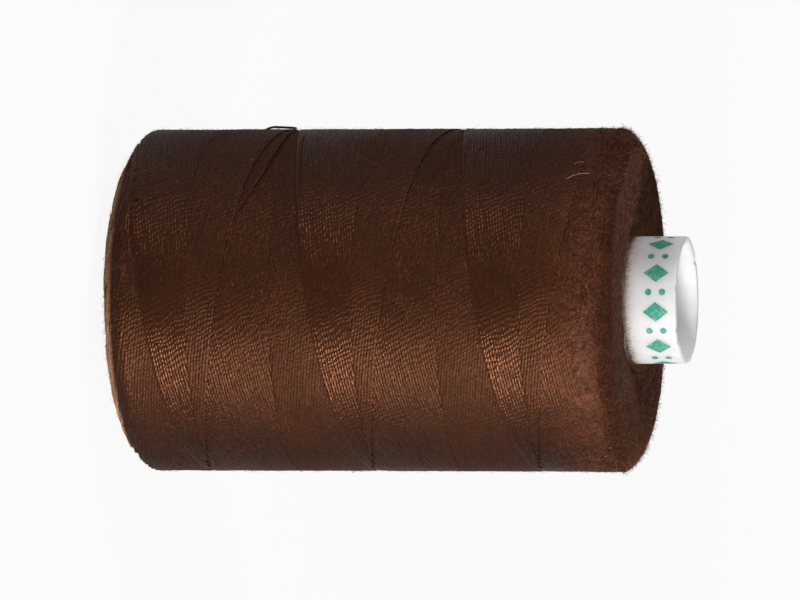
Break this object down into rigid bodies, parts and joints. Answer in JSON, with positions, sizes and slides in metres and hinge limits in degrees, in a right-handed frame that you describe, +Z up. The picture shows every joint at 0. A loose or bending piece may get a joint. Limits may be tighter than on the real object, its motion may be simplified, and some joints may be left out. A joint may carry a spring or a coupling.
{
  "type": "sewing thread spool",
  "caption": "Fine brown spun thread cross-wound as a round-shouldered parallel package on a thin white plastic tube that stands out at one end.",
  "frame": {"origin": "centre of the tube's base rim, on the surface that the spool stands on", "axes": "+Z up the tube's axis towards the end with the long bare stretch; +X towards the side where the outer turns begin and end"},
  "size_m": [0.027, 0.027, 0.0457],
  "materials": {
    "tube_plastic": "moulded white, satin, with a green printed ornament",
    "thread": "spun two-ply brown thread, matt and slightly hairy"
  },
  "bodies": {
    "root": {"tube": "tube_plastic", "wound_core": "thread", "outer_turns": "thread"}
  },
  "joints": []
}
